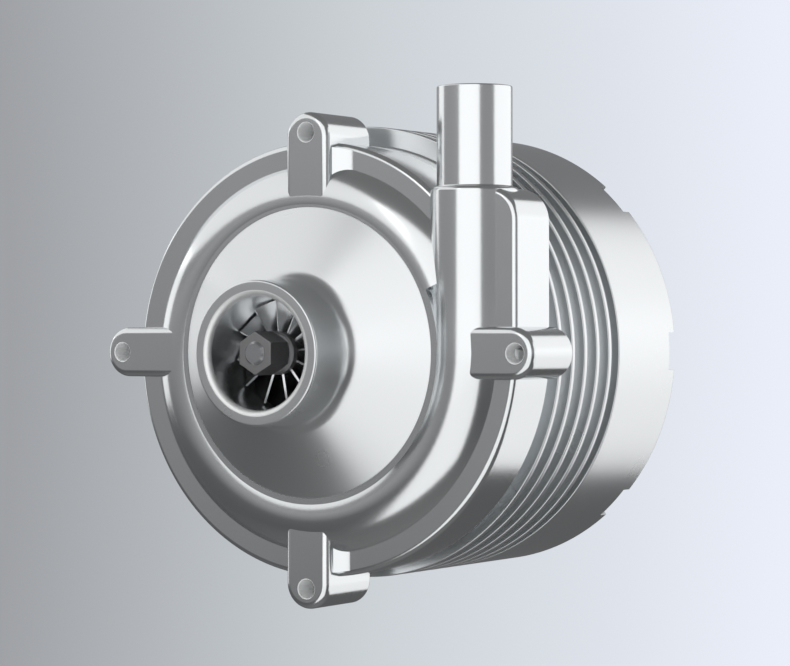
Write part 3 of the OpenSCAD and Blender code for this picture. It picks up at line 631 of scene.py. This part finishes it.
def makeOutletPipe(size):
    r, duct, bead, flat = size["r"], size["duct"], size["bead"], size["bead"] * size["beadFlat"]
    bore, foot, seatR = r - size["wall"], duct - size["seat"], r - size["shoulder"]
    outer, inner = size["outerRound"], size["innerRound"]
    profile = [(bore, foot), (seatR, foot), (seatR, duct), (r + bead, duct), (r + flat, duct + flat)]
    profile.append((r, duct + bead))
    profile += arcPoints(r - outer, size["top"] - outer, outer, 0, 90, size["roundSteps"])
    profile += arcPoints(bore + inner, size["top"] - inner, inner, 90, 180, size["roundSteps"])
    return turnedPiece("outletPipe", profile, size["steps"], centre=(size["x"] * mm, size["y"] * mm, 0), axis="Z")


outletPipe = makeOutletPipe(pipeSizes)
evenNormals(outletPipe, pipeSizes["sharpAngle"])
finishPiece(outletPipe, satinSilver, "housing", ["outlet_pipe"])

# the impeller: a curved hub with thin blades that lean into the stream at the front
wheelSizes = {
    "blades": 12, "start": -7.4, "lead": 75.0, "bladeT": 0.44, "front": -10.0, "tipFront": -9.2, "hubR": 4.6,
    "outerR": 25.5, "discFront": 9.4, "back": 11.0, "hubFront": -11.9, "hubEdge": 0.4, "boreR": 2.52, "root": 0.3,
    "shroudX": 26.5, "tipR": 14.9, "tipTurn": 86.15, "throatY": -8.4, "tipRise": 14.0, "across": 4, "along": 28,
    "leadFade": 3, "hubSteps": 24, "steps": 120, "sharpAngle": 32, "bladeAngle": 40}


def makeImpeller(size):
    def hubLine(s):
        a = math.radians(90 * s)
        return (size["outerR"] - (size["outerR"] - size["hubR"]) * math.cos(a),
                size["front"] + (size["discFront"] - size["front"]) * math.sin(a))

    def tipLine(s):
        a = math.radians(size["tipTurn"] * s)
        rise = size["throatY"] + size["tipRise"] * math.sin(a)
        return size["shroudX"] - size["tipR"] * math.cos(a), (rise if s > 0 else size["tipFront"])

    profile = [(size["boreR"], size["hubFront"]), (size["hubR"] - size["hubEdge"], size["hubFront"]),
               (size["hubR"], size["hubFront"] + size["hubEdge"])]
    profile += [hubLine(i / size["hubSteps"]) for i in range(size["hubSteps"] + 1)]
    profile += [(size["outerR"], size["back"]), (size["boreR"], size["back"])]
    wheel = turnedPiece("impellerWheel", profile, size["steps"])
    evenNormals(wheel, size["sharpAngle"])

    # one blade: a grid laid between hub and shroud, then given its thickness
    clearSelection()
    bpy.ops.mesh.primitive_grid_add(x_subdivisions=size["across"], y_subdivisions=size["along"], size=2)
    blade = bpy.context.object
    for vertex in blade.data.vertices:
        share = (vertex.co.x + 1) / 2
        s = (vertex.co.y + 1) / 2
        hub, tip = hubLine(s), tipLine(s)
        r = (hub[0] - size["root"]) * (1 - share) + tip[0] * share
        y = (hub[1] + size["root"]) * (1 - share) + tip[1] * share
        a = math.radians(size["lead"] * (1 - s) ** size["leadFade"])
        vertex.co = Vector((r * math.cos(a), y, r * math.sin(a))) * mm
    thicken = blade.modifiers.new("thickness", "SOLIDIFY")
    thicken.thickness = size["bladeT"] * mm
    thicken.offset = 0
    applyAll(blade)
    smoothByAngle(blade, size["bladeAngle"])
    clearSelection()
    for i in range(size["blades"]):
        turned = blade.copy()
        turned.data = blade.data.copy()
        scene.collection.objects.link(turned)
        turned.rotation_euler = (0, -math.radians(size["start"] + 360 / size["blades"] * i), 0)
        turned.select_set(True)
    bpy.data.objects.remove(blade)
    wheel.select_set(True)
    bpy.context.view_layer.objects.active = wheel
    bpy.ops.object.join()
    bpy.ops.object.transform_apply(location=True, rotation=True, scale=True)
    return wheel


impellerWheel = makeImpeller(wheelSizes)
finishPiece(impellerWheel, darkAlloy, "rotor", ["impeller"])
impellerWheel.data.materials.append(darkSteel)   # the hub's end round the shaft is dark
hubEndR = (wheelSizes["hubR"] + 0.4) * mm
hubEndY = (wheelSizes["front"] - 0.2) * mm
for face in impellerWheel.data.polygons:
    if face.center.y < hubEndY and math.hypot(face.center.x, face.center.z) < hubEndR:
        face.material_index = 1

# the crisp hexagon nut with a fine front edge, bored for the shaft
nutSizes = {
    "across": 8.0, "front": -19.3, "back": -12.9, "boreR": 2.52, "boreSteps": 64, "edge": 0.22, "edgeSteps": 3,
    "turn": 90, "sharpAngle": 28}


def makeNut(size):
    corner = size["across"] / math.sqrt(3)
    turns = [math.radians(size["turn"] + 60 * i) for i in range(6)]
    nut = slabPiece("impellerNut", [(corner * math.cos(a), corner * math.sin(a)) for a in turns],
                    size["front"], size["back"])
    roundEdgesAt(nut, size["front"], size["edge"], size["edgeSteps"])
    front, back = size["front"] - pastFace, size["back"] + pastFace
    bore = turnedPiece("bore", [(0, front), (size["boreR"], front), (size["boreR"], back), (0, back)],
                       size["boreSteps"], closed=False)
    trim = nut.modifiers.new("bore", "BOOLEAN")
    trim.operation = "DIFFERENCE"
    trim.solver = "EXACT"
    trim.object = bore
    applyAll(nut)
    bpy.data.objects.remove(bore)
    return nut


impellerNut = makeNut(nutSizes)
evenNormals(impellerNut, nutSizes["sharpAngle"])
finishPiece(impellerNut, darkSteel, "rotor", ["impeller_nut"])
print("outer pieces are in place")


# camera at the photograph's angle
cameraSizes = {
    "lens": 124.2, "sensor": 36.0, "nearest": 0.01, "place": (0.3257, -0.4887, 0.0048),
    "looks": (-0.5271, 0.8498, -0.001), "roll": -0.06}
cameraData = bpy.data.cameras.new("studioCamera")
cameraData.lens = cameraSizes["lens"]
cameraData.sensor_width = cameraSizes["sensor"]
cameraData.clip_start = cameraSizes["nearest"]
camera = bpy.data.objects.new("studioCamera", cameraData)
scene.collection.objects.link(camera)
camera.location = cameraSizes["place"]
camera.rotation_euler = Vector(cameraSizes["looks"]).to_track_quat("-Z", "Y").to_euler()
camera.rotation_euler.rotate_axis("Z", math.radians(cameraSizes["roll"]))
scene.camera = camera


# lamps: large soft panels, given by their direction from the object, their spread in degrees and their brightness
panels = {
    "frontPanel": {"azimuth": 15, "elevation": -3, "spread": (64, 94), "white": 0.91},
    "rightPanel": {"azimuth": 133, "elevation": 2, "spread": (82, 68), "white": 0.88},
    "leftSky": {"azimuth": -70, "elevation": 36, "spread": (104, 40), "white": 0.72},
    "leftWindow": {"azimuth": -92, "elevation": 5, "spread": (30, 26), "white": 0.75},
    "floorLamp": {"azimuth": 0, "elevation": 90, "spread": (53, 53), "white": 2.2},
}
panelDistance = 1.2
for name, panel in panels.items():
    a = math.radians(panel["azimuth"])
    e = math.radians(panel["elevation"])
    aim = Vector((math.sin(a) * math.cos(e), -math.cos(a) * math.cos(e), math.sin(e)))
    lampData = bpy.data.lights.new(name, "AREA")
    lampData.shape = "RECTANGLE"
    lampData.size, lampData.size_y = [2 * panelDistance * math.tan(math.radians(span / 2))
                                      for span in panel["spread"]]
    lampData.energy = panel["white"] * math.pi * lampData.size * lampData.size_y
    lamp = bpy.data.objects.new(name, lampData)
    scene.collection.objects.link(lamp)
    lamp.location = aim * panelDistance
    lamp.rotation_euler = aim.to_track_quat("Z", "Y").to_euler()
    lamp.visible_camera = False
    lamp.visible_glossy = name != "floorLamp"   # which only lights the floor and draws the object's shadow on it
print("lamps are set")


# the room: dim walls round the object, and a pale backdrop for the camera
roomSizes = {
    "coolness": 1.015,   # how much bluer the walls are than grey
    "walls": [(-1, 0.17), (-0.5, 0.10), (-0.2, 0.11), (-0.05, 0.24), (0.1, 0.33), (0.25, 0.20), (1, 0.17)],
    "backdrop": [(-1.0, (0.66, 0.68, 0.71)), (-0.82, (0.60, 0.62, 0.65)), (-0.64, (0.345, 0.355, 0.375)),
                 (-0.532, (0.60, 0.64, 0.67)), (-0.40, (0.83, 0.86, 0.95)), (1.0, (0.80, 0.82, 0.88))]}


def buildRoom(size):
    world = bpy.data.worlds.new("paleRoom")
    scene.world = world
    world.use_nodes = True
    tree = world.node_tree
    tree.nodes.clear()
    place = tree.nodes.new("ShaderNodeTexCoord")
    split = tree.nodes.new("ShaderNodeSeparateXYZ")
    tree.links.new(place.outputs["Generated"], split.inputs[0])
    east, up = split.outputs[0], split.outputs[2]
    light = tree.nodes.new("ShaderNodeValToRGB")
    stops = [((height + 1) / 2, value) for height, value in size["walls"]]
    ends = (light.color_ramp.elements[0], light.color_ramp.elements[1])
    for element, (at, value) in zip(ends, (stops[0], stops[-1])):
        element.position = at
        element.color = (value, value, value, 1)
    for at, value in stops[1:-1]:
        light.color_ramp.elements.new(at).color = (value, value, value * size["coolness"], 1)
    tree.links.new(mathNode(tree, "MULTIPLY", mathNode(tree, "ADD", up, 1.0), 0.5), light.inputs["Fac"])
    seen = tree.nodes.new("ShaderNodeValToRGB")   # from west to east, through the view's left and right edges
    tones = [((along + 1) / 2, (*tone, 1)) for along, tone in size["backdrop"]]
    seen.color_ramp.elements[0].color = tones[0][1]
    seen.color_ramp.elements[1].color = tones[-1][1]
    for at, tone in tones[1:-1]:
        seen.color_ramp.elements.new(at).color = tone
    tree.links.new(mathNode(tree, "MULTIPLY", mathNode(tree, "ADD", east, 1.0), 0.5), seen.inputs["Fac"])
    path = tree.nodes.new("ShaderNodeLightPath")
    mix = tree.nodes.new("ShaderNodeMixRGB")
    tree.links.new(path.outputs["Is Camera Ray"], mix.inputs["Fac"])
    tree.links.new(light.outputs["Color"], mix.inputs["Color1"])
    tree.links.new(seen.outputs["Color"], mix.inputs["Color2"])
    background = tree.nodes.new("ShaderNodeBackground")
    tree.links.new(mix.outputs["Color"], background.inputs["Color"])
    out = tree.nodes.new("ShaderNodeOutputWorld")
    tree.links.new(background.outputs[0], out.inputs["Surface"])


buildRoom(roomSizes)

# a pale floor well under the object, outside the camera's view
floorSizes = {"size": 2.3, "height": -0.235, "pale": (0.90, 0.91, 0.92), "grain": 260, "grainDepth": 0.97,
              "roughness": 0.8, "cornerSteps": 32}


def makeFloor(size):
    clearSelection()
    bpy.ops.mesh.primitive_plane_add(size=size["size"], location=(0, 0, size["height"]))
    floor = bpy.context.object
    floor.name = "studioFloor"
    bpy.ops.object.transform_apply(location=True, rotation=True, scale=True)
    rounded = floor.modifiers.new("corners", "BEVEL")
    rounded.affect = "VERTICES"
    rounded.width = size["size"] / 2
    rounded.segments = size["cornerSteps"]
    applyAll(floor)
    material = bpy.data.materials.new("palePaper")
    material.use_nodes = True
    tree = material.node_tree
    shader = tree.nodes["Principled BSDF"]
    shader.inputs["Roughness"].default_value = size["roughness"]
    grain = tree.nodes.new("ShaderNodeTexNoise")
    grain.inputs["Scale"].default_value = size["grain"]
    place = tree.nodes.new("ShaderNodeTexCoord")
    tree.links.new(place.outputs["Object"], grain.inputs["Vector"])
    mix = tree.nodes.new("ShaderNodeMixRGB")
    mix.inputs["Color1"].default_value = (*[tone * size["grainDepth"] for tone in size["pale"]], 1)
    mix.inputs["Color2"].default_value = (*size["pale"], 1)
    tree.links.new(grain.outputs["Fac"], mix.inputs["Fac"])
    tree.links.new(mix.outputs["Color"], shader.inputs["Base Color"])
    clear = tree.nodes.new("ShaderNodeBsdfTransparent")   # seen from below, the floor is clear
    side = tree.nodes.new("ShaderNodeNewGeometry")
    both = tree.nodes.new("ShaderNodeMixShader")
    tree.links.new(side.outputs["Backfacing"], both.inputs[0])
    tree.links.new(shader.outputs[0], both.inputs[1])
    tree.links.new(clear.outputs[0], both.inputs[2])
    tree.links.new(both.outputs[0], tree.nodes["Material Output"].inputs["Surface"])
    floor.visible_glossy = False   # the lamps also light the object from below
    floor.visible_shadow = False
    floor.data.materials.append(material)


makeFloor(floorSizes)
print("room and floor are set")
scene.view_settings.view_transform = "Standard"
